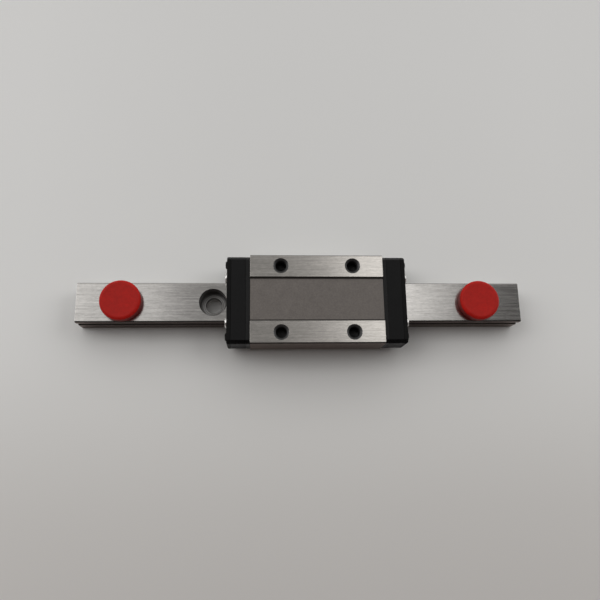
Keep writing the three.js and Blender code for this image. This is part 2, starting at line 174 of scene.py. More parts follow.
def prism(name, outline, x0, x1, edge0=0.0, edge1=0.0, steps=2):
    """A prism along X. Its end edges are rounded by edge0 and edge1."""
    if area2(outline) < 0:
        outline = outline[::-1]
    sections = []
    if edge0 > 0:
        for k in range(steps + 1):
            a = math.pi / 2 * k / steps
            sections.append((x0 + edge0 * (1 - math.sin(a)), inset(outline, edge0 * (1 - math.cos(a)))))
        sections = sections[::-1]
        sections = [(x0 + edge0 * (1 - math.cos(math.pi / 2 * k / steps)),
                     inset(outline, edge0 * (1 - math.sin(math.pi / 2 * k / steps)))) for k in range(steps + 1)]
    else:
        sections = [(x0, outline)]
    if edge1 > 0:
        for k in range(steps + 1):
            a = math.pi / 2 * k / steps
            sections.append((x1 - edge1 * (1 - math.sin(a)), inset(outline, edge1 * (1 - math.cos(a)))))
    else:
        sections.append((x1, outline))
    bm = bmesh.new()
    rings = [[bm.verts.new((x, y, z)) for y, z in pts] for x, pts in sections]
    m = len(outline)
    for a, b in zip(rings, rings[1:]):
        for i in range(m):
            bm.faces.new((a[i], a[(i + 1) % m], b[(i + 1) % m], b[i]))
    bm.faces.new(rings[0][::-1])
    bm.faces.new(rings[-1])
    fix_normals(bm)
    return bm_object(name, bm)


def lathe(name, profile, n=64, axis="Z", at=(0, 0, 0), flute=None):
    """A body of revolution from (r, h) pairs that start and end on the axis. flute(h, angle) adds to r."""
    bm = bmesh.new()
    rings = []
    for r, h in profile:
        if r <= 1e-9:
            rings.append([bm.verts.new((0, 0, h))])
        else:
            ring = []
            for i in range(n):
                a = 2 * math.pi * i / n
                rr = r + (flute(r, h, a) if flute else 0.0)
                ring.append(bm.verts.new((rr * math.cos(a), rr * math.sin(a), h)))
            rings.append(ring)
    for a, b in zip(rings, rings[1:]):
        if len(a) == 1 and len(b) == 1:
            continue
        if len(a) == 1:
            for i in range(n):
                bm.faces.new((a[0], b[(i + 1) % n], b[i]))
        elif len(b) == 1:
            for i in range(n):
                bm.faces.new((a[i], a[(i + 1) % n], b[0]))
        else:
            for i in range(n):
                bm.faces.new((a[i], a[(i + 1) % n], b[(i + 1) % n], b[i]))
    turn = {"Z": Matrix.Identity(4), "X": Matrix.Rotation(math.pi / 2, 4, "Y"), "Y": Matrix.Rotation(-math.pi / 2, 4, "X")}[axis]
    bmesh.ops.transform(bm, matrix=Matrix.Translation(at) @ turn, verts=bm.verts[:])
    fix_normals(bm)
    return bm_object(name, bm)


def cyl(r, h0, h1, axis, at, n=48, lip0=0.0, lip1=0.0):
    """A cutting cylinder; lip0 and lip1 flare its two ends into a 45 degree edge break."""
    profile = [(0, h0 - 1), (r + lip0 + (1 if lip0 else 0), h0 - 1)] if lip0 else [(0, h0), (r, h0)]
    if lip0:
        profile += [(r, h0 + lip0)]
    if lip1:
        profile += [(r, h1 - lip1), (r + lip1 + 1, h1 + 1), (0, h1 + 1)]
    else:
        profile += [(r, h1), (0, h1)]
    return lathe("cut", profile, n, axis, at)


def box(x0, x1, y0, y1, z0, z1):
    bm = bmesh.new()
    bmesh.ops.create_cube(bm, size=1)
    for v in bm.verts:
        v.co = Vector(((x0 + x1) / 2 + v.co.x * (x1 - x0), (y0 + y1) / 2 + v.co.y * (y1 - y0), (z0 + z1) / 2 + v.co.z * (z1 - z0)))
    return bm_object("cut", bm)


def slab(points, z0, z1):
    """A plate along Z with a plan outline of (x, y) points."""
    bm = bmesh.new()
    if area2(points) < 0:
        points = points[::-1]
    lo = [bm.verts.new((x, y, z0)) for x, y in points]
    hi = [bm.verts.new((x, y, z1)) for x, y in points]
    m = len(points)
    for i in range(m):
        bm.faces.new((lo[i], lo[(i + 1) % m], hi[(i + 1) % m], hi[i]))
    bm.faces.new(lo[::-1])
    bm.faces.new(hi)
    fix_normals(bm)
    return bm_object("cut", bm)


def torus(R, r, at, n=64, m=28):
    bm = bmesh.new()
    rings = []
    for i in range(n):
        a = 2 * math.pi * i / n
        ring = []
        for j in range(m):
            b = 2 * math.pi * j / m
            d = R + r * math.cos(b)
            ring.append(bm.verts.new((at[0] + d * math.cos(a), at[1] + d * math.sin(a), at[2] + r * math.sin(b))))
        rings.append(ring)
    for i in range(n):
        a, b = rings[i], rings[(i + 1) % n]
        for j in range(m):
            bm.faces.new((a[j], b[j], b[(j + 1) % m], a[(j + 1) % m]))
    fix_normals(bm)
    return bm_object("cut", bm)


def apply_modifiers(ob):
    dg = bpy.context.evaluated_depsgraph_get()
    me = bpy.data.meshes.new_from_object(ob.evaluated_get(dg))
    old = ob.data
    ob.modifiers.clear()
    ob.data = me
    bpy.data.meshes.remove(old)
    return ob


def join_tools(tools):
    """Several cutters that don't touch each other, as one mesh."""
    bm = bmesh.new()
    for t in tools:
        bm.from_mesh(t.data)
        me = t.data
        bpy.data.objects.remove(t)
        bpy.data.meshes.remove(me)
    return bm_object("cut", bm)


def boolean(ob, tool, op="DIFFERENCE"):
    m = ob.modifiers.new("b", "BOOLEAN")
    m.operation = op
    m.object = tool
    m.solver = "MANIFOLD"
    bpy.context.view_layer.update()
    apply_modifiers(ob)
    me = tool.data
    bpy.data.objects.remove(tool)
    bpy.data.meshes.remove(me)
    return ob


def clean(ob, merge=1e-5):
    bm = bmesh.new()
    bm.from_mesh(ob.data)
    bmesh.ops.remove_doubles(bm, verts=bm.verts[:], dist=merge)
    bmesh.ops.dissolve_degenerate(bm, edges=bm.edges[:], dist=merge)
    loose = [v for v in bm.verts if not v.link_faces]
    if loose:
        bmesh.ops.delete(bm, geom=loose, context="VERTS")
    bm.to_mesh(ob.data)
    bm.free()
    return ob


def mirrored(ob, name, axis=0):
    me = ob.data.copy()
    me.name = name
    for v in me.vertices:
        v.co[axis] = -v.co[axis]
    me.flip_normals()
    o = bpy.data.objects.new(name, me)
    bpy.context.scene.collection.objects.link(o)
    return o


def moved(ob, dx=0.0, dy=0.0, dz=0.0):
    ob.data.transform(Matrix.Translation((dx, dy, dz)))
    return ob


def finish_piece(ob, name, node, body, material, sharp=26.0):
    """Shades the mesh, scales it to metres, and stands it in for its CAD node."""
    ob.name = name
    ob.data.name = name
    bm = bmesh.new()
    bm.from_mesh(ob.data)
    for f in bm.faces:
        f.smooth = True
    lim = math.radians(sharp)
    for e in bm.edges:
        e.smooth = not (len(e.link_faces) != 2 or e.calc_face_angle(0) > lim)
    bm.to_mesh(ob.data)
    bm.free()
    w = ob.modifiers.new("w", "WEIGHTED_NORMAL")
    w.mode = "FACE_AREA"
    w.weight = 90
    w.keep_sharp = True
    bpy.context.view_layer.update()
    apply_modifiers(ob)
    ob.data.transform(Matrix.Scale(MM, 4))
    ob.data.materials.clear()
    ob.data.materials.append(material)
    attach(ob, body)
    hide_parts(node)
    return ob


# ------------------------------------------------------------------ node materials
class Nodes:
    """A short way to wire shader nodes."""

    def __init__(self, material):
        self.m = material
        material.use_nodes = True
        self.t = material.node_tree
        self.t.nodes.clear()
        self.out = self.t.nodes.new("ShaderNodeOutputMaterial")

    def add(self, kind, **values):
        n = self.t.nodes.new(kind)
        for k, v in values.items():
            if k.startswith("in_"):
                key = k[3:]
                key = int(key) if key.isdigit() else key.replace("_", " ")
                s = n.inputs[key]
                if isinstance(v, bpy.types.NodeSocket):
                    self.t.links.new(v, s)
                else:
                    s.default_value = v
            else:
                setattr(n, k, v)
        return n

    def link(self, a, b):
        self.t.links.new(a, b)

    def math(self, op, a, b=None, c=None, clamp=False):
        n = self.t.nodes.new("ShaderNodeMath")
        n.operation = op
        n.use_clamp = clamp
        for i, v in enumerate((a, b, c)):
            if v is None:
                continue
            if isinstance(v, bpy.types.NodeSocket):
                self.link(v, n.inputs[i])
            else:
                n.inputs[i].default_value = v
        return n.outputs[0]

    def noise(self, vector, scale, detail=3.0, rough=0.55, stretch=(1, 1, 1), offset=(0, 0, 0)):
        mp = self.add("ShaderNodeMapping", in_Vector=vector)
        mp.inputs["Scale"].default_value = stretch
        mp.inputs["Location"].default_value = offset
        n = self.add("ShaderNodeTexNoise", in_Vector=mp.outputs[0], in_Scale=scale, in_Detail=detail, in_Roughness=rough)
        return n.outputs["Fac"]

    def remap(self, value, a, b, c, d, clamp=True):
        n = self.add("ShaderNodeMapRange", in_Value=value)
        n.clamp = clamp
        for k, v in zip(("From Min", "From Max", "To Min", "To Max"), (a, b, c, d)):
            n.inputs[k].default_value = v
        return n.outputs[0]

    def mix(self, fac, a, b, blend="MIX"):
        n = self.t.nodes.new("ShaderNodeMix")
        n.data_type = "RGBA"
        n.blend_type = blend
        for s, v in ((n.inputs[0], fac), (n.inputs[6], a), (n.inputs[7], b)):
            if isinstance(v, bpy.types.NodeSocket):
                self.link(v, s)
            else:
                s.default_value = v
        return n.outputs[2]

    def bump(self, height, strength, distance, normal=None):
        n = self.add("ShaderNodeBump", in_Height=height, in_Strength=strength, in_Distance=distance)
        if normal is not None:
            self.link(normal, n.inputs["Normal"])
        return n.outputs[0]


def rgb(r, g, b):
    return (r, g, b, 1.0)


def srgb(r, g, b):
    def f(c):
        c /= 255.0
        return c / 12.92 if c <= 0.04045 else ((c + 0.055) / 1.055) ** 2.4
    return (f(r), f(g), f(b), 1.0)


def facing(nodes, axis, lo, hi):
    """How far the face's own normal points along an axis of the piece, remapped from lo..hi to 0..1."""
    g = nodes.add("ShaderNodeNewGeometry")
    s = nodes.add("ShaderNodeSeparateXYZ", in_0=g.outputs["Normal"])
    return nodes.remap(s.outputs[axis], lo, hi, 0.0, 1.0)


def ground_steel(name, base, rough=0.20, aniso=0.80, streak=0.27, side=0.5, lean=(0.95, 0.5), groove=None, far_edge_shade=1.0, band=None, bore_shade=None, turned=None):
    """Steel ground along X: straight fine scratches, blurred across them and sharp along them."""
    m = bpy.data.materials.new(name)
    n = Nodes(m)
    obj = n.add("ShaderNodeTexCoord").outputs["Object"]
    xyz = n.add("ShaderNodeSeparateXYZ", in_0=obj)
    fine = n.noise(obj, 1.0, 2.0, 0.5, stretch=(9, 6500, 6500))
    mid = n.noise(obj, 1.0, 2.0, 0.5, stretch=(45, 2300, 2300), offset=(3.1, 0.7, 1.9))
    short = n.noise(obj, 1.0, 2.0, 0.6, stretch=(320, 3600, 3600), offset=(1.3, 4.4, 2.2))
    cut = n.noise(obj, 1.0, 1.0, 0.5, stretch=(110, 7500, 7500), offset=(5.3, 2.4, 8.2))
    slow = n.noise(obj, 1.0, 2.0, 0.5, stretch=(60, 160, 160), offset=(7.0, 2.0, 5.0))
    lines = n.math("MULTIPLY_ADD", fine, 0.25, n.math("MULTIPLY_ADD", short, 0.45, n.math("MULTIPLY", mid, 0.3)))
    nick = n.remap(cut, 0.60, 0.76, 1.0, 0.80)
    tone = n.math("MULTIPLY", n.remap(lines, 0.3, 0.7, 1.0 - streak, 1.0 + streak), nick)
    fleck = n.noise(obj, 1.0, 2.0, 0.6, stretch=(1300, 3100, 3100), offset=(9.2, 1.4, 6.6))
    both = n.math("MULTIPLY", n.math("MULTIPLY", tone, n.remap(fleck, 0.3, 0.7, 0.92, 1.08)), n.remap(slow, 0.3, 0.7, 0.96, 1.04))
    comb = n.add("ShaderNodeCombineColor", in_Red=both, in_Green=both, in_Blue=both)
    col = n.mix(1.0, rgb(*base), comb.outputs[0], "MULTIPLY")
    r = n.remap(mid, 0.25, 0.75, rough - 0.03, rough + 0.04)
    normal = n.bump(n.math("MULTIPLY_ADD", fine, 0.6, n.math("MULTIPLY", mid, 0.4)), 0.12, 0.00002)
    geo = n.add("ShaderNodeNewGeometry")
    across = n.add("ShaderNodeVectorMath", operation="CROSS_PRODUCT", in_0=geo.outputs["Normal"], in_1=(1.0, 0.0, 0.0))
    tan = n.add("ShaderNodeVectorMath", operation="ADD", in_0=across.outputs[0], in_1=(0.0, 0.02, 0.0))
    p = n.add("ShaderNodeBsdfPrincipled", in_Metallic=1.0)
    n.link(r, p.inputs["Roughness"])
    n.link(normal, p.inputs["Normal"])
    p.inputs["Anisotropic"].default_value = aniso
    n.link(tan.outputs[0], p.inputs["Tangent"])
    # painted shade: the upright faces are darker than the tops, the front side darkest of all
    gn = n.add("ShaderNodeSeparateXYZ", in_0=geo.outputs["Normal"])
    tilt = n.remap(n.math("ABSOLUTE", gn.outputs[2]), lean[0], lean[1], 0.0, 1.0)
    front_face_shade = n.remap(gn.outputs[1], -0.6, -0.1, side, 0.58)
    painted_face_shade = n.math("MULTIPLY_ADD", tilt, n.math("SUBTRACT", front_face_shade, 1.0), 1.0)
    # painted shade: the broken edges along the far and near sides are darker still
    edge_band = n.math("MULTIPLY", n.math("GREATER_THAN", gn.outputs[1], 0.5), n.math("LESS_THAN", gn.outputs[1], 0.9))
    painted_face_shade = n.math("MULTIPLY", painted_face_shade, n.math("MULTIPLY_ADD", edge_band, far_edge_shade - 1.0, 1.0))
    near_band = n.math("MULTIPLY", n.math("LESS_THAN", gn.outputs[1], -0.3), n.math("GREATER_THAN", gn.outputs[2], 0.2))
    painted_face_shade = n.math("MULTIPLY", painted_face_shade, n.math("MULTIPLY_ADD", near_band, -0.65, 1.0))
    if groove:
        # painted shade in the ball tracks: nearer the middle than y_wall, between z_low and z_top
        y_wall, z_low, z_top, track_shade = groove
        track = n.math("MULTIPLY", n.math("LESS_THAN", n.math("ABSOLUTE", xyz.outputs[1]), y_wall - 0.00016), n.math("GREATER_THAN", xyz.outputs[2], z_low))
        track = n.math("MULTIPLY", track, n.math("LESS_THAN", xyz.outputs[2], z_top))
        track = n.math("MULTIPLY", track, n.math("GREATER_THAN", n.math("ABSOLUTE", xyz.outputs[1]), 0.0032))
        painted_face_shade = n.math("MULTIPLY", painted_face_shade, n.math("MULTIPLY_ADD", track, track_shade - 1.0, 1.0))
    face_shade_colour = n.add("ShaderNodeCombineColor", in_Red=painted_face_shade, in_Green=painted_face_shade, in_Blue=painted_face_shade)
    n.link(n.mix(1.0, col, face_shade_colour.outputs[0], "MULTIPLY"), p.inputs["Base Color"])
    # painted shade: the front side's reflection is dimmed and warmed at a glancing angle
    front = n.math("MULTIPLY", tilt, n.remap(gn.outputs[1], -0.3, -0.7, 0.0, 1.0))
    front_glance_shade = n.mix(front, rgb(1.0, 1.0, 1.0), rgb(0.82, 0.72, 0.69))
    n.link(front_glance_shade, p.inputs["Specular Tint"])
    layers = []

    def mixed(fac, under, over):
        mixs = n.add("ShaderNodeMixShader")
        n.link(fac, mixs.inputs[0])
        n.link(under, mixs.inputs[1])
        n.link(over, mixs.inputs[2])
        return mixs.outputs[0]

    if turned:
        # counterbores and bores at a fixed pitch: turned steel with tool rings, darkened with painted shade
        pitch, first, radius, z_top = turned
        along = n.math("FRACT", n.math("DIVIDE", n.math("ADD", xyz.outputs[0], -first + pitch / 2), pitch))
        dx = n.math("MULTIPLY", n.math("SUBTRACT", along, 0.5), pitch)
        dy = xyz.outputs[1]
        d = n.math("SQRT", n.math("MULTIPLY_ADD", dx, dx, n.math("MULTIPLY", dy, dy)))
        upper = n.math("MULTIPLY", n.math("LESS_THAN", d, radius), n.math("GREATER_THAN", xyz.outputs[2], 0.0029))
        lower = n.math("MULTIPLY", n.math("LESS_THAN", d, 0.00189), n.math("GREATER_THAN", xyz.outputs[2], 0.00005))
        fac = n.math("MULTIPLY", n.math("MAXIMUM", upper, lower), n.math("LESS_THAN", xyz.outputs[2], z_top))
        ring_at = n.add("ShaderNodeCombineXYZ", in_0=d, in_1=xyz.outputs[2])
        rings = n.noise(ring_at.outputs[0], 4200, 1.0, 0.5)
        # painted shade: the flat floor with tool rings is darkened and the wall above it darker still; the reamed bore
        # below is bright steel
        flat = n.math("MULTIPLY", n.remap(rings, 0.3, 0.7, 0.10, 0.40), n.remap(gn.outputs[2], 0.4, 0.8, 0.0, 1.0))
        wall = n.math("MULTIPLY", n.remap(gn.outputs[2], 0.8, 0.4, 0.0, 1.0), n.remap(xyz.outputs[2], 0.0012, 0.0020, 0.92, 0.11))
        turned_tone_and_shade = n.math("ADD", flat, n.math("MULTIPLY", wall, n.remap(rings, 0.3, 0.7, 0.85, 1.15)))
        ct = n.add("ShaderNodeCombineColor", in_Red=turned_tone_and_shade, in_Green=n.math("MULTIPLY", turned_tone_and_shade, 0.975), in_Blue=n.math("MULTIPLY", turned_tone_and_shade, 0.95))
        q = n.add("ShaderNodeBsdfPrincipled", in_Metallic=1.0, in_Roughness=0.28)
        n.link(ct.outputs[0], q.inputs["Base Color"])
        n.link(n.bump(rings, 0.5, 0.00003), q.inputs["Normal"])
        layers.append((fac, q.outputs[0]))
    if band:
        # the lower centre band keeps its matte skin: only the pads are ground
        y_half, z_top, z_low, base_b = band
        inside = n.math("LESS_THAN", n.math("ABSOLUTE", xyz.outputs[1]), y_half)
        below = n.math("LESS_THAN", xyz.outputs[2], z_top)
        above = n.math("GREATER_THAN", xyz.outputs[2], z_low)
        fac = n.math("MULTIPLY", n.math("MULTIPLY", inside, below), above)
        grain = n.noise(obj, 9000, 2.0, 0.6)
        blotch = n.noise(obj, 3000, 2.0, 0.6, offset=(2.0, 5.0, 1.0))
        cloud = n.noise(obj, 420, 3.0, 0.6)
        t = n.math("MULTIPLY", n.remap(grain, 0.3, 0.7, 0.90, 1.10), n.remap(cloud, 0.3, 0.7, 0.95, 1.05))
        t = n.math("MULTIPLY", t, n.remap(blotch, 0.3, 0.7, 0.88, 1.12))
        # painted shade: the steps up to the pads are darkened
        t = n.math("MULTIPLY", t, n.remap(gn.outputs[2], 0.8, 0.95, 0.30, 1.0))
        cb = n.add("ShaderNodeCombineColor", in_Red=t, in_Green=t, in_Blue=t)
        q = n.add("ShaderNodeBsdfPrincipled", in_Metallic=0.6, in_Roughness=0.6)
        n.link(n.mix(1.0, rgb(*base_b), cb.outputs[0], "MULTIPLY"), q.inputs["Base Color"])
        n.link(n.bump(grain, 0.25, 0.00002), q.inputs["Normal"])
        layers.append((fac, q.outputs[0]))
    if bore_shade:
        # painted shade: the tapped holes are darkened, darkest below the mouth: (x, y, radius, z_top) in metres
        total = None
        for hx, hy, hr, hz in bore_shade:
            dx = n.math("SUBTRACT", xyz.outputs[0], hx)
            dy = n.math("SUBTRACT", xyz.outputs[1], hy)
            d2 = n.math("MULTIPLY_ADD", dx, dx, n.math("MULTIPLY", dy, dy))
            hit = n.math("MULTIPLY", n.math("LESS_THAN", d2, hr * hr), n.math("LESS_THAN", xyz.outputs[2], hz))
            hit = n.math("MULTIPLY", hit, n.math("GREATER_THAN", xyz.outputs[2], 0.006))
            total = hit if total is None else n.math("MAXIMUM", total, hit)
        scale = n.noise(obj, 3800, 3.0, 0.6)
        bore_shade_tone = n.math("ADD", n.remap(scale, 0.3, 0.7, 0.02, 0.045), n.remap(xyz.outputs[2], 0.0096, 0.0099, 0.0, 0.05))
        cd_ = n.add("ShaderNodeCombineColor", in_Red=bore_shade_tone, in_Green=bore_shade_tone, in_Blue=bore_shade_tone)
        q = n.add("ShaderNodeBsdfPrincipled", in_Metallic=0.7, in_Roughness=0.45)
        n.link(cd_.outputs[0], q.inputs["Base Color"])
        n.link(n.bump(scale, 0.2, 0.00002), q.inputs["Normal"])
        layers.append((total, q.outputs[0]))
    # later skins lie over earlier ones, and all of them over the ground steel
    shader = p.outputs[0]
    if layers:
        fac, skin = layers[0]
        for f, q in layers[1:]:
            skin = mixed(f, skin, q)
            fac = n.math("MAXIMUM", fac, f)
        shader = mixed(fac, shader, skin)
    n.link(shader, n.out.inputs[0])
    return m


def polished_steel(name, base, rough=0.12):
    m = bpy.data.materials.new(name)
    n = Nodes(m)
    obj = n.add("ShaderNodeTexCoord").outputs["Object"]
    haze = n.noise(obj, 2500, 3.0, 0.6)
    r = n.remap(haze, 0.3, 0.7, rough * 0.7, rough * 1.5)
    t = n.remap(n.noise(obj, 900, 2.0, 0.5), 0.3, 0.7, 0.95, 1.04)
    c = n.add("ShaderNodeCombineColor", in_Red=t, in_Green=t, in_Blue=t)
    p = n.add("ShaderNodeBsdfPrincipled", in_Metallic=1.0)
    n.link(n.mix(1.0, rgb(*base), c.outputs[0], "MULTIPLY"), p.inputs["Base Color"])
    n.link(r, p.inputs["Roughness"])
    n.link(n.bump(haze, 0.08, 0.00001), p.inputs["Normal"])
    n.link(p.outputs[0], n.out.inputs[0])
    return m


def moulded_plastic(name, base, rough=0.5, spec=0.3, grain=6500, depth=0.25, mottle=0.25):
    """Moulded plastic: a fine spark-eroded grain, faint flow marks and a slightly smoother worn edge."""
    m = bpy.data.materials.new(name)
    n = Nodes(m)
    obj = n.add("ShaderNodeTexCoord").outputs["Object"]
    g = n.noise(obj, grain, 2.0, 0.6)
    flow = n.noise(obj, 1.0, 3.0, 0.55, stretch=(260, 520, 520))
    spot = n.noise(obj, 1700, 3.0, 0.6, offset=(4.0, 1.0, 2.0))
    t = n.math("MULTIPLY", n.remap(g, 0.3, 0.7, 1 - mottle, 1 + mottle), n.remap(flow, 0.3, 0.7, 0.9, 1.1))
    t = n.math("MULTIPLY", t, n.remap(spot, 0.3, 0.7, 1 - mottle, 1 + mottle))
    c = n.add("ShaderNodeCombineColor", in_Red=t, in_Green=t, in_Blue=t)
    p = n.add("ShaderNodeBsdfPrincipled")
    n.link(n.mix(1.0, rgb(*base), c.outputs[0], "MULTIPLY"), p.inputs["Base Color"])
    # the chamfers leave the mould smoother than the flats
    gn = n.add("ShaderNodeSeparateXYZ", in_0=n.add("ShaderNodeNewGeometry").outputs["Normal"])
    up = n.math("ABSOLUTE", gn.outputs[2])
    chamfer = n.math("MULTIPLY", n.remap(up, 0.45, 0.6, 0.0, 1.0), n.remap(up, 0.93, 0.85, 0.0, 1.0))
    n.link(n.math("MULTIPLY", n.remap(flow, 0.3, 0.7, rough - 0.06, rough + 0.08), n.math("MULTIPLY_ADD", chamfer, -0.5, 1.0)), p.inputs["Roughness"])
    p.inputs["Specular IOR Level"].default_value = spec
    n.link(n.bump(g, depth, 0.00003), p.inputs["Normal"])
    n.link(p.outputs[0], n.out.inputs[0])
    return m


def soft_plug(name, base, edge):
    """Soft red moulding: matte skin, faint sheen, cloudy tone, a painted highlight on the rounded edge and painted
    shade on the skirt.
    """
    m = bpy.data.materials.new(name)
    n = Nodes(m)
    obj = n.add("ShaderNodeTexCoord").outputs["Object"]
    g = n.noise(obj, 5200, 2.0, 0.55)
    cloud = n.noise(obj, 330, 3.0, 0.55)
    spot = n.noise(obj, 1500, 3.0, 0.6)
    # painted highlight: the rounded rim is brighter than the flat; painted shade: the skirt below it is darker
    up = facing(n, 2, 0.80, 0.995)
    skirt_shade = facing(n, 2, 0.45, -0.05)
    col = n.mix(skirt_shade, n.mix(up, rgb(*edge), rgb(*base)), rgb(edge[0] * 0.33, edge[1] * 0.4, edge[2] * 0.4))
    t = n.math("MULTIPLY", n.remap(g, 0.3, 0.7, 0.93, 1.07), n.remap(cloud, 0.3, 0.7, 0.93, 1.07))
    t = n.math("MULTIPLY", t, n.remap(spot, 0.3, 0.7, 0.92, 1.08))
    c = n.add("ShaderNodeCombineColor", in_Red=t, in_Green=t, in_Blue=t)
    p = n.add("ShaderNodeBsdfPrincipled")
    n.link(n.mix(1.0, col, c.outputs[0], "MULTIPLY"), p.inputs["Base Color"])
    n.link(n.remap(cloud, 0.3, 0.7, 0.50, 0.62), p.inputs["Roughness"])
    p.inputs["Specular IOR Level"].default_value = 0.17
    p.inputs["Subsurface Weight"].default_value = 0.12
    p.inputs["Subsurface Scale"].default_value = 0.0006
    p.inputs["Subsurface Radius"].default_value = (1.0, 0.18, 0.12)
    n.link(n.bump(g, 0.18, 0.00003), p.inputs["Normal"])
    n.link(p.outputs[0], n.out.inputs[0])
    return m


# the side value, the groove's last value and the far edge value set painted shade on the front faces, the ball tracks
# and the far chamfers; the turned layer and the bore list paint shade in the holes
M_RAIL = ground_steel("ground_rail_steel", (0.61, 0.592, 0.570), streak=0.27, side=0.19, groove=(0.00462, 0.0031, 0.0051, 0.45), turned=(0.020, -0.040, 0.00303, 0.00646))
M_BLOCK = ground_steel("ground_block_steel", (0.60, 0.572, 0.536), streak=0.18, side=0.24, far_edge_shade=0.55, band=(0.005, 0.00998, 0.0092, (0.186, 0.168, 0.155)),
                       bore_shade=[((CAR_X + sx * 8) * MM, sy * 7.5 * MM, 1.76 * MM, 9.985 * MM) for sx in (-1, 1) for sy in (-1, 1)])
M_BALL = polished_steel("bearing_ball_steel", (0.80, 0.80, 0.81), 0.08)
M_WIRE = polished_steel("drawn_wire_steel", (0.66, 0.65, 0.64), 0.25)
M_SCREW = polished_steel("screw_steel", (0.90, 0.89, 0.87), 0.26)
M_CAP = moulded_plastic("black_cap_plastic", (0.0028, 0.0028, 0.0031), rough=0.52, spec=0.2)
M_PLATE = moulded_plastic("black_plate_plastic", (0.006, 0.006, 0.0062), rough=0.42, spec=0.26, depth=0.15)
M_SEAL = moulded_plastic("black_seal_rubber", (0.0026, 0.0026, 0.0026), rough=0.62, spec=0.17, grain=4200, depth=0.35)
M_GUIDE = moulded_plastic("natural_guide_plastic", (0.70, 0.66, 0.56), rough=0.45, spec=0.4, mottle=0.05)
M_PLUG = soft_plug("red_plug_rubber", (0.458, 0.0150, 0.0105), (0.530, 0.0100, 0.0055))


# ------------------------------------------------------------------ rail
def rail_outline():
    h = RAIL_W / 2
    mouth = math.degrees(math.acos((LOADED_Y - h) / GROOVE_R))
    relief = math.degrees(math.asin(0.33 / GROOVE_R))
    half = [(h - 0.15, 0.0, 0.05), (h, 0.15, 0.05)]
    half += arc(LOADED_Y, BALL_Z, GROOVE_R, 180 + mouth, 180 + relief, 10)
    half += [(3.33, BALL_Z - 0.33, 0.08), (3.33, BALL_Z + 0.33, 0.08)]
    half += arc(LOADED_Y, BALL_Z, GROOVE_R, 180 - relief, 180 - mouth, 10)
    half += [(h, RAIL_H - 0.25, 0.06), (h - 0.25, RAIL_H, 0.06)]
    left = [(-p[0], *p[1:]) for p in half][::-1]
    return fillet(half + left, 3)


rail = prism("rail_body", rail_outline(), -RAIL_L / 2, RAIL_L / 2, 0.03, 0.03, 2)
tools = []
for hx in RAIL_HOLES:
    tools.append(lathe("cut", [
        (0, -1), (BORE_R + 1.12, -1), (BORE_R, 0.12), (BORE_R, RAIL_H - CBORE_DEPTH - 0.12),
        (BORE_R + 0.12, RAIL_H - CBORE_DEPTH), (CBORE_R - 0.08, RAIL_H - CBORE_DEPTH),
        (CBORE_R, RAIL_H - CBORE_DEPTH + 0.08), (CBORE_R, RAIL_H - 0.1), (CBORE_R + 0.1 + 1, RAIL_H + 1), (0, RAIL_H + 1)],
        96, "Z", (hx, 0, 0)))
boolean(rail, join_tools(tools))
clean(rail)
finish_piece(rail, "rail_body", "rail", "rail", M_RAIL)

# ------------------------------------------------------------------ rail plugs


def plug(name, x, node, body):
    r, top, seat = PLUG_HEAD_R, PLUG_TOP, RAIL_H + 0.02
    e = 0.74
    shoulder = RAIL_H - CBORE_DEPTH + 0.1
    prof = [(0, 0.4), (1.2, 0.4)] + arc(1.4, 0.65, 0.25, -90, 0, 4)
    prof += [(1.65, shoulder - 0.1), (1.75, shoulder), (2.7, shoulder)] + arc(2.78, shoulder + 0.1, 0.1, -90, 0, 3)
    prof += [(2.9, seat - 0.12), (3.0, seat), (r - 0.30, seat)] + arc(r - 0.22, seat + 0.12, 0.12, -90, -6, 4)
    prof += arc(r - e, top - e, e, -6, 90, 14)
    # the top is very slightly dished, with a soft ring where the core pin met it
    prof += [(r - e - 0.3, top - 0.01), (r - e - 0.6, top - 0.035), (2.4, top - 0.055), (1.2, top - 0.06), (0.5, top - 0.06), (0.38, top - 0.075), (0, top - 0.08)]
    ob = lathe(name, prof, 128, "Z", (x, 0, 0))
    finish_piece(ob, name, node, body, M_PLUG, sharp=40)
    return ob


plug("left_plug_moulding", PLUG_X[0], "left_rail_plug", "left_plug")
plug("right_plug_moulding", PLUG_X[1], "right_rail_plug", "right_plug")


# ------------------------------------------------------------------ carriage block
def block_outline():
    w = BLOCK_HW
    wall, ceil = 5.05, 7.2
    mouth = math.degrees(math.acos((wall - LOADED_Y) / GROOVE_R))
    c = 0.25
    half = [
        (wall + 0.2, BLOCK_BOT, 0.05), (w - c, BLOCK_BOT, 0.06), (w, BLOCK_BOT + c, 0.06),
        (w, BLOCK_TOP - c, 0.06), (w - c, BLOCK_TOP, 0.06),
        (5.0, BLOCK_TOP, 0.05), (4.6, BLOCK_TOP - 0.45, 0.18),
    ]
    inner = [(wall - 0.5, ceil, 0.15), (wall, ceil - 0.5, 0.15)]
    inner += arc(LOADED_Y, BALL_Z, GROOVE_R, mouth, -mouth, 16)
    inner += [(wall, BLOCK_BOT + 0.2, 0.05)]
    neg = lambda pts: [(-p[0], *p[1:]) for p in pts][::-1]
    return fillet(half + neg(half) + neg(inner) + inner, 3)


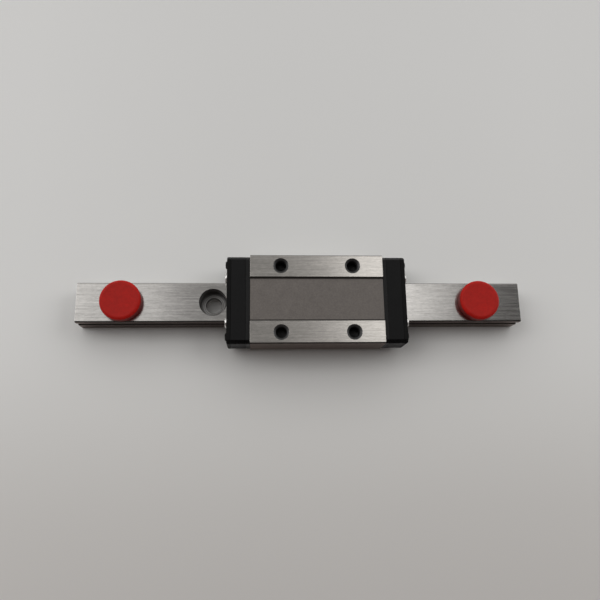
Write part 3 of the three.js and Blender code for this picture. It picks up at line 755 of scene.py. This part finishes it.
def thread_cut(x, y, top, depth, minor, major, pitch, n=40, rows_per=10):
    """The space that a tapped blind hole leaves: countersunk mouth, thread, drill point."""
    prof = [(0, top - depth - 0.75), (minor - 0.15, top - depth - 0.3), (minor, top - depth - 0.2)]
    z = top - depth
    z1 = top - 0.34
    k = int((z1 - z) / pitch * rows_per)
    for i in range(k + 1):
        prof.append((minor, z + (z1 - z) * i / k))
    prof += [(TAP_MOUTH_R, top), (TAP_MOUTH_R + 1.0, top + 1.0), (0, top + 1.0)]

    def flute(r, h, a):
        if abs(r - minor) > 1e-6 or h < top - depth or h > z1 - 1e-6:
            return 0.0
        ph = (h / pitch - a / (2 * math.pi)) % 1.0
        t = 1 - abs(2 * ph - 1)
        t = min(1.0, max(0.0, (t - 0.12) / 0.76))
        fade = min(1.0, (h - (top - depth)) / (pitch * 0.8))
        return (major - minor) * t * fade

    return lathe("cut", prof, n, "Z", (x, y, 0), flute)


block = prism("carriage_block_body", block_outline(), -E, E, 0.03, 0.03, 2)
tools = []
for sy in (-1, 1):
    for sx in (-1, 1):
        tools.append(thread_cut(sx * 8, sy * 7.5, BLOCK_TOP, 3.0, 1.235, 1.5, 0.5))
        h0, h1 = (E - 3.7, E) if sx > 0 else (-E, -E + 3.7)
        tools.append(cyl(0.88, h0, h1, "X", (0, sy * SCREW_Y, SCREW_Z), 32,
                         lip0=0.1 if sx < 0 else 0.0, lip1=0.1 if sx > 0 else 0.0))
    tools.append(cyl(0.9, -E, E, "X", (0, sy * RETURN_Y, BALL_Z), 48, 0.1, 0.1))
boolean(block, join_tools(tools))
clean(block)
moved(block, CAR_X)
finish_piece(block, "carriage_block_body", "carriage_block", "carriage", M_BLOCK)


# ------------------------------------------------------------------ end pieces, built at the +X end
def end_outline(wall=4.95, ceil=7.15, grow=0.0, foot=0.15):
    w, t, b = END_HW - grow, END_TOP - grow, END_BOT + grow
    half = [(wall + foot, b, 0.05), (w - 0.3, b, 0.12), (w, b + 0.3, 0.12), (w, t - END_CHAMFER, 0.2), (w - END_CHAMFER, t, 0.2)]
    inner = [(wall - 0.5, ceil, 0.15), (wall, ceil - 0.5, 0.15), (wall, b + foot, 0.05)]
    neg = lambda pts: [(-p[0], *p[1:]) for p in pts][::-1]
    return fillet(half + neg(half) + neg(inner) + inner, 4)


def turn_tools(sy):
    ring = torus(TURN_R, 0.88, (0, sy * TURN_Y, BALL_Z))
    drum = cyl(TURN_R - 0.02, BALL_Z - 0.9, BALL_Z + 0.9, "Z", (0, sy * TURN_Y, 0), 64)
    return boolean(ring, drum, "UNION")


# return plate
plate = prism("p", end_outline(), PLATE_X0, PLATE_X1, 0.04, 0.07, 2)
boolean(plate, join_tools([turn_tools(1), turn_tools(-1)]))
boolean(plate, join_tools([cyl(0.88, -1, 2, "X", (0, sy * SCREW_Y, SCREW_Z), 32) for sy in (-1, 1)]))
clean(plate)

# end cap
cap = prism("c", end_outline(), CAP_X0, CAP_X1, 0.07, 0.1, 3)
boolean(cap, join_tools([turn_tools(1), turn_tools(-1)]))
tools = [cyl(0.88, 0, 6, "X", (0, sy * SCREW_Y, SCREW_Z), 32) for sy in (-1, 1)]
tools.append(cyl(0.6, 0, 6, "X", (0, 0, 8.2), 32))
for sy in (-1, 1):
    y0, y1 = (4.0, 6.0) if sy > 0 else (-6.0, -4.0)
    tools.append(box(WIRE_X - 0.32, WIRE_X + 0.32, y0, y1, BALL_Z - 0.32, BALL_Z + 0.32))
boolean(cap, join_tools(tools))
clean(cap)


# end seal
def seal_outline():
    lip = RAIL_W / 2 + 0.08
    nose = GROOVE_R - 0.08
    mouth = math.degrees(math.acos((LOADED_Y - lip) / nose))
    w, t, b = END_HW, END_TOP, END_BOT
    half = [(w - 0.3, b, 0.12), (w, b + 0.3, 0.12), (w, t - END_CHAMFER, 0.2), (w - END_CHAMFER, t, 0.2)]
    inner = [(lip - 0.25, RAIL_H + 0.08, 0.06), (lip, RAIL_H - 0.25 + 0.04, 0.06)]
    inner += arc(LOADED_Y, BALL_Z, nose, 180 - mouth, 180 + mouth, 14)
    inner += [(lip, b, 0.05)]
    neg = lambda pts: [(-p[0], *p[1:]) for p in pts][::-1]
    return fillet(half + neg(half) + neg(inner) + inner, 4)


seal = prism("s", seal_outline(), SEAL_X0, SEAL_X1, 0.05, 0.12, 3)
for sy in (-1, 1):
    # plan corner, rounded
    c = (SEAL_X1 - 0.38, END_HW - 0.38)
    pts = [(c[0] + 0.38 * math.cos(a), c[1] + 0.38 * math.sin(a)) for a in [math.pi / 2 * k / 8 for k in range(9)]]
    pts = [(SEAL_X1 + 1, c[1])] + pts + [(c[0], END_HW + 1), (SEAL_X1 + 1, END_HW + 1)]
    boolean(seal, slab([(x, sy * y) for x, y in pts], -1, 14))
# moulded bumps over the ball returns
bump_prof = [(0, -0.4), (0.85, -0.4), (0.85, BUMP_H - 0.25)] + arc(0.6, BUMP_H - 0.25, 0.25, 8, 90, 6) + [(0, BUMP_H)]
bumps = join_tools([lathe("b", bump_prof, 48, "X", (SEAL_X1, sy * 8.15, 7.8)) for sy in (-1, 1)])
boolean(seal, bumps, "UNION")
lip_in = seal_outline()
tools = [cyl(SCREW_POCKET_R, SCREW_SEAT - 0.02, 7, "X", (0, sy * SCREW_Y, SCREW_Z), 48) for sy in (-1, 1)]
tools.append(cyl(0.6, 3, 7, "X", (0, 0, 8.2), 32))
boolean(seal, join_tools(tools))
boolean(seal, join_tools([cyl(0.88, 3, 6, "X", (0, sy * SCREW_Y, SCREW_Z), 32) for sy in (-1, 1)]))
clean(seal)

for part, left, right, mat, slot_name in (
    (plate, "left_return_plate", "right_return_plate", M_PLATE, "plate_black"),
    (cap, "left_end_cap", "right_end_cap", M_CAP, "cap_black"),
    (seal, "left_end_seal", "right_end_seal", M_SEAL, "seal_black"),
):
    other = mirrored(part, left + "_moulding")
    moved(part, CAR_X + E)
    moved(other, CAR_X - E)
    finish_piece(part, right + "_moulding", right, "carriage", mat)
    finish_piece(other, left + "_moulding", left, "carriage", mat)


# ------------------------------------------------------------------ return guides
def return_guide():
    g = cyl(TURN_R - 0.05, BALL_Z - 0.87, BALL_Z + 0.87, "Z", (0, TURN_Y, 0), 72)
    boolean(g, box(-3, 0.02, TURN_Y - 3, TURN_Y + 3, 0, 8))
    boolean(g, torus(TURN_R, 0.88, (0, TURN_Y, BALL_Z)))
    return clean(g)


rg = return_guide()
rf = mirrored(rg, "rf", 1)
lr = mirrored(rg, "lr", 0)
lf = mirrored(rf, "lf", 0)
for ob, dx, node in ((rg, E, "right_rear_return_guide"), (rf, E, "right_front_return_guide"),
                     (lr, -E, "left_rear_return_guide"), (lf, -E, "left_front_return_guide")):
    moved(ob, CAR_X + dx)
    finish_piece(ob, node + "_insert", node, "carriage", M_GUIDE)


# ------------------------------------------------------------------ end screws
def end_screw():
    """Cross-recessed pan head screw along +X, head outward, with its thread."""
    hr, hh, seat, length = SCREW_HEAD_R, SCREW_HEAD_H, SCREW_SEAT, 8.0
    tip = seat - length
    major, minor, pitch = 0.79, 0.60, 0.35
    z0, z1 = tip + 0.3, seat - 0.5
    rows = int((z1 - z0) / pitch * 8)
    prof = [(0, tip), (0.42, tip), (minor, tip + 0.22)]
    prof += [(minor + 1e-4, z0 + (z1 - z0) * i / rows) for i in range(rows + 1)]
    prof += [(0.72, z1 + 0.1), (0.76, seat - 0.2), (0.79, seat), (hr - 0.06, seat)]
    prof += arc(hr - 0.06, seat + 0.06, 0.06, -90, 0, 3)
    # pan head: upright rim, full radius, nearly flat crown
    prof += arc(hr - 0.34, seat + hh - 0.42, 0.34, 0, 72, 8)
    crown = prof[-1]
    for k in range(1, 7):
        f = k / 6
        prof.append((crown[0] * (1 - f), crown[1] + (seat + hh - crown[1]) * (1 - (1 - f) ** 2)))

    def flute(r, h, a):
        if abs(r - minor - 1e-4) > 1e-7:
            return 0.0
        ph = (h / pitch + a / (2 * math.pi)) % 1.0
        t = 1 - abs(2 * ph - 1)
        t = min(1.0, max(0.0, (t - 0.1) / 0.8))
        fade = min(1.0, (h - z0) / (pitch * 1.2), (z1 - h) / (pitch * 0.8))
        return (major - minor) * t * max(0.0, fade)

    ob = lathe("screw", prof, 48, "X", (0, 0, 0), flute)
    top = seat + hh
    # cross recess: two tapered wings and a cone at the middle
    def wing(turn):
        bm = bmesh.new()
        a = [bm.verts.new(v) for v in ((0.15, -0.80, -0.19), (0.15, 0.80, -0.19), (0.15, 0.80, 0.19), (0.15, -0.80, 0.19))]
        b = [bm.verts.new(v) for v in ((-0.56, -0.34, -0.12), (-0.56, 0.34, -0.12), (-0.56, 0.34, 0.12), (-0.56, -0.34, 0.12))]
        for i in range(4):
            bm.faces.new((a[i], a[(i + 1) % 4], b[(i + 1) % 4], b[i]))
        bm.faces.new(a[::-1])
        bm.faces.new(b)
        bmesh.ops.transform(bm, matrix=Matrix.Translation((top, 0, 0)) @ Matrix.Rotation(turn, 4, "X"), verts=bm.verts[:])
        fix_normals(bm)
        return bm_object("w", bm)
    cross = boolean(wing(0.0), wing(math.pi / 2), "UNION")
    boolean(ob, cross)
    return clean(ob)


screw = end_screw()
for sx, side in ((1, "right"), (-1, "left")):
    for sy, depth in ((-1, "front"), (1, "rear")):
        node = f"{side}_{depth}_end_screw"
        me = screw.data.copy()
        ob = bpy.data.objects.new(node, me)
        bpy.context.scene.collection.objects.link(ob)
        # each screw stopped at its own turn
        ob.data.transform(Matrix.Rotation({(1, -1): 0.35, (1, 1): 1.1, (-1, -1): 0.8, (-1, 1): 0.15}[(sx, sy)], 4, "X"))
        if sx < 0:
            ob.data.transform(Matrix.Rotation(math.pi, 4, "Z"))
        moved(ob, CAR_X + sx * E, sy * SCREW_Y, SCREW_Z)
        finish_piece(ob, node + "_body", node, "carriage", M_SCREW, sharp=32)
old = screw.data
bpy.data.objects.remove(screw)
bpy.data.meshes.remove(old)


# ------------------------------------------------------------------ balls
def circuit_point(s, straight, total):
    bend = math.pi * TURN_R
    s %= total
    if s < straight:
        return -straight / 2 + s, LOADED_Y
    s -= straight
    if s < bend:
        t = s / TURN_R
        return straight / 2 + TURN_R * math.sin(t), TURN_Y - TURN_R * math.cos(t)
    s -= bend
    if s < straight:
        return straight / 2 - s, RETURN_Y
    t = (s - straight) / TURN_R
    return -straight / 2 - TURN_R * math.sin(t), TURN_Y + TURN_R * math.cos(t)


for sy, node in ((1, "rear_ball_row"), (-1, "front_ball_row")):
    bm = bmesh.new()
    total = 2 * (BLOCK_L + math.pi * TURN_R)
    for i in range(BALL_N):
        # the bead of the CAD row sits at half a pitch
        x, y = circuit_point((i + 0.5) * total / BALL_N, BLOCK_L, total)
        bmesh.ops.create_icosphere(bm, subdivisions=3, radius=BALL_R, matrix=Matrix.Translation((CAR_X + x, sy * y, BALL_Z)))
    ob = bm_object(node + "_balls", bm)
    finish_piece(ob, node + "_balls", node, "carriage", M_BALL, sharp=60)


# ------------------------------------------------------------------ retainer wires
def wire(sy):
    xe, b = E + WIRE_X, WIRE_BEND
    pts = [(-xe, WIRE_END_Y)]
    for i in range(13):
        a = i / 12 * math.pi / 2
        pts.append((-xe + b * (1 - math.cos(a)), WIRE_Y + b * (1 - math.sin(a))))
    for i in range(13):
        a = i / 12 * math.pi / 2
        pts.append((xe - b * (1 - math.sin(a)), WIRE_Y + b * (1 - math.cos(a))))
    pts.append((xe, WIRE_END_Y))
    pts = [Vector((x, y, 0)) for x, y in pts]
    bm = bmesh.new()
    rings = []
    n = 20
    last = len(pts) - 1
    for i, p in enumerate(pts):
        d = (pts[min(i + 1, last)] - p).normalized() + (p - pts[max(i - 1, 0)]).normalized()
        d.normalize()
        side = Vector((d.y, -d.x, 0))
        radii = [(0.0, WIRE_R)]
        if i == 0:
            radii = [(-0.0, WIRE_R - 0.05), (0.05, WIRE_R)]
        elif i == last:
            radii = [(-0.05, WIRE_R), (0.0, WIRE_R - 0.05)]
        for off, r in radii:
            c = p + d * off
            rings.append([bm.verts.new(c + side * (r * math.cos(2 * math.pi * k / n)) + Vector((0, 0, r * math.sin(2 * math.pi * k / n)))) for k in range(n)])
    for a, c in zip(rings, rings[1:]):
        for k in range(n):
            bm.faces.new((a[k], a[(k + 1) % n], c[(k + 1) % n], c[k]))
    bm.faces.new(rings[0][::-1])
    bm.faces.new(rings[-1])
    for v in bm.verts:
        v.co = Vector((CAR_X + v.co.x, sy * v.co.y, BALL_Z + v.co.z))
    fix_normals(bm)
    return bm_object("wire", bm)


for sy, node in ((1, "rear_retainer_wire"), (-1, "front_retainer_wire")):
    finish_piece(wire(sy), node + "_drawn", node, "carriage", M_WIRE)

# ------------------------------------------------------------------ floor
bm = bmesh.new()
bmesh.ops.create_grid(bm, x_segments=8, y_segments=8, size=2.0)
floor = bm_object("floor", bm)
floor.location = (0, 0, 0)
fm = bpy.data.materials.new("pale_table")
n = Nodes(fm)
obj = n.add("ShaderNodeTexCoord").outputs["Object"]
# painted light: the sheet's tone falls off slowly and warms towards the front in place of the light's falloff, and is
# lifted just in front of the object to thin its cast shadow
sx_ = n.add("ShaderNodeSeparateXYZ", in_0=obj)
floor_light_falloff = n.add("ShaderNodeValToRGB", in_0=n.remap(sx_.outputs[1], -0.40, 0.20, 0.0, 1.0))
steps = [(-0.30, (0.80, 0.785, 0.77)), (-0.12, (0.640, 0.618, 0.598)), (-0.065, (0.665, 0.644, 0.624)), (-0.045, (0.722, 0.706, 0.685)), (-0.032, (0.780, 0.770, 0.751)), (-0.019, (0.846, 0.842, 0.826)), (-0.010, (0.882, 0.881, 0.867)), (-0.002, (0.890, 0.890, 0.877)),
         (0.015, (0.885, 0.886, 0.874)), (0.068, (0.922, 0.925, 0.915))]
floor_light_falloff.color_ramp.interpolation = "B_SPLINE"
els = floor_light_falloff.color_ramp.elements
while len(els) > 1:
    els.remove(els[-1])
for i, (a, v) in enumerate(steps):
    e = els[0] if i == 0 else els.new(0.99)
    e.position = (a + 0.40) / 0.60
    e.color = rgb(*v)
# painted light: brighter towards the sides and darker towards +X, for the lean of the light
side = n.math("MULTIPLY", sx_.outputs[0], sx_.outputs[0])
side = n.remap(side, 0.0, 0.0042, 0.99, 1.03)
cl = n.noise(obj, 9, 3.0, 0.5)
side = n.math("MULTIPLY", side, n.math("MULTIPLY_ADD", n.remap(sx_.outputs[0], -0.08, 0.08, -0.08, 0.08), -0.30, 1.0))
t = n.math("MULTIPLY", side, n.remap(cl, 0.3, 0.7, 0.99, 1.01))
c = n.add("ShaderNodeCombineColor", in_Red=t, in_Green=t, in_Blue=t)
p = n.add("ShaderNodeBsdfPrincipled", in_Roughness=0.75)
p.inputs["Specular IOR Level"].default_value = 0.1
n.link(n.mix(1.0, floor_light_falloff.outputs[0], c.outputs[0], "MULTIPLY"), p.inputs["Base Color"])
n.link(p.outputs[0], n.out.inputs[0])
floor.data.materials.append(fm)

# a plain pale backdrop, seen only from low angles; it neither lights nor mirrors in the object
bm = bmesh.new()
bmesh.ops.create_uvsphere(bm, u_segments=96, v_segments=48, radius=1.9)
bmesh.ops.reverse_faces(bm, faces=bm.faces[:])
for f in bm.faces:
    f.smooth = True
backdrop = bm_object("backdrop", bm)
for way in ("visible_diffuse", "visible_glossy", "visible_transmission", "visible_volume_scatter", "visible_shadow"):
    setattr(backdrop, way, False)
wm = bpy.data.materials.new("pale_backdrop")
n = Nodes(wm)
wall = n.add("ShaderNodeSeparateXYZ", in_0=n.add("ShaderNodeTexCoord").outputs["Object"])
shade = n.mix(n.remap(wall.outputs[2], 0.0, 1.2, 0.0, 1.0), rgb(0.56, 0.553, 0.54), rgb(0.70, 0.695, 0.685))
n.link(n.add("ShaderNodeEmission", in_Color=shade, in_Strength=1.0).outputs[0], n.out.inputs[0])
backdrop.data.materials.append(wm)


# ------------------------------------------------------------------ light
# u is how far a direction leans along X, v how far it leans to the back (+Y), both as a tangent from straight up
CEILING_U = [(-4.0, 0.6), (-2.2, 1.9), (-0.65, 2.5), (-0.45, 1.8), (-0.33, 1.08), (-0.293, 0.90), (-0.267, 0.69), (-0.23, 0.78),
             (-0.19, 1.02), (-0.178, 1.0), (-0.162, 0.76), (-0.146, 0.45), (-0.13, 0.34), (-0.114, 0.246), (-0.01, 0.27), (0.015, 0.245),
             (0.053, 0.31), (0.09, 0.40), (0.112, 0.49), (0.13, 0.60), (0.172, 1.15), (0.185, 1.40), (0.2, 1.44), (0.25, 1.13),
             (0.284, 0.83), (0.315, 0.68), (0.34, 0.48), (0.37, 0.05), (0.63, 0.04), (0.73, 2.5), (2.2, 1.5), (4.0, 0.5)]
CEILING_V = [(-0.12, 0.0), (-0.08, 0.1), (-0.01, 0.6), (0.03, 0.72), (0.2, 0.89), (0.32, 1.03), (0.5, 1.1), (0.55, 0.9), (0.65, 0.17), (0.70, 0.0)]
ROOM_V = [(-8.0, 0.02), (-4.5, 0.05), (-3.0, 0.18), (-1.4, 0.18), (-0.95, 0.05), (-0.6, 0.045), (-0.25, 0.095), (-0.1, 0.16), (0.0, 0.27), (0.45, 0.27), (0.62, 0.72),
          (0.75, 0.76), (1.0, 1.1), (1.9, 1.2), (2.6, 0.55), (8.0, 0.12)]


def build_world():
    """A soft room: bright ceiling panels with dark gaps between them, a dim room in front and a paler one behind."""
    w = bpy.data.worlds.new("room")
    bpy.context.scene.world = w
    w.use_nodes = True
    t = w.node_tree
    t.nodes.clear()
    out = t.nodes.new("ShaderNodeOutputWorld")
    bg = t.nodes.new("ShaderNodeBackground")
    tc = t.nodes.new("ShaderNodeTexCoord")
    sep = t.nodes.new("ShaderNodeSeparateXYZ")
    t.links.new(tc.outputs["Generated"], sep.inputs[0])

    def mt(op, a, b=None, c=None):
        n = t.nodes.new("ShaderNodeMath")
        n.operation = op
        for i, v in enumerate((a, b, c)):
            if v is None:
                continue
            if isinstance(v, bpy.types.NodeSocket):
                t.links.new(v, n.inputs[i])
            else:
                n.inputs[i].default_value = v
        return n.outputs[0]

    z = mt("MAXIMUM", sep.outputs[2], 0.01)

    def lean(axis, table, peak):
        """A ramp over the angle of lean, with its values held below 1 and scaled back up."""
        angle = mt("ARCTANGENT", mt("DIVIDE", sep.outputs[axis], z))
        ramp = t.nodes.new("ShaderNodeValToRGB")
        t.links.new(mt("MULTIPLY_ADD", angle, 1 / math.pi, 0.5), ramp.inputs[0])
        els = ramp.color_ramp.elements
        while len(els) > 1:
            els.remove(els[-1])
        for i, (a, v) in enumerate(table):
            e = els[0] if i == 0 else els.new(0.99)
            e.position = math.atan(a) / math.pi + 0.5
            e.color = (v / peak,) * 3 + (1,)
        return mt("MULTIPLY", ramp.outputs[0], peak)

    ceiling = lean(0, CEILING_U, 3.5)
    across = lean(1, CEILING_V, 1.2)
    room = lean(1, ROOM_V, 1.8)
    value = mt("MULTIPLY_ADD", mt("SUBTRACT", ceiling, 0.27), across, room)
    # below the horizon only the table is ever seen
    value = mt("MULTIPLY", value, mt("GREATER_THAN", sep.outputs[2], 0.0))
    comb = t.nodes.new("ShaderNodeCombineColor")
    t.links.new(value, comb.inputs[0])
    # the dim side in front is a little warmer than the ceiling
    warm = t.nodes.new("ShaderNodeMapRange")
    for k, v in zip(("From Min", "From Max", "To Min", "To Max"), (-0.35, 0.05, 1.0, 0.0)):
        warm.inputs[k].default_value = v
    t.links.new(sep.outputs[1], warm.inputs["Value"])
    t.links.new(mt("MULTIPLY", value, mt("MULTIPLY_ADD", warm.outputs[0], -0.14, 0.995)), comb.inputs[1])
    t.links.new(mt("MULTIPLY", value, mt("MULTIPLY_ADD", warm.outputs[0], -0.165, 0.985)), comb.inputs[2])
    t.links.new(comb.outputs[0], bg.inputs[0])
    t.links.new(bg.outputs[0], out.inputs[0])


build_world()

# ------------------------------------------------------------------ camera
f_px = 622.14
pos = Vector((-9.3647, -32.7093, 142.3321)) * MM
rx, ry, rz = 0.24020, -0.06120, -0.01510
R = Matrix.Rotation(rz, 3, "Z") @ Matrix.Rotation(ry, 3, "Y") @ Matrix.Rotation(rx, 3, "X")
cd = bpy.data.cameras.new("camera")
cd.sensor_fit = "HORIZONTAL"
cd.sensor_width = 36.0
cd.lens = f_px / 600.0 * 36.0
cd.clip_start, cd.clip_end = 0.005, 20
cam = bpy.data.objects.new("camera", cd)
bpy.context.scene.collection.objects.link(cam)
cam.matrix_world = Matrix.Translation(pos) @ R.to_4x4()
bpy.context.scene.camera = cam
bpy.context.scene.view_settings.view_transform = "Standard"
bpy.context.scene.view_settings.look = "None"
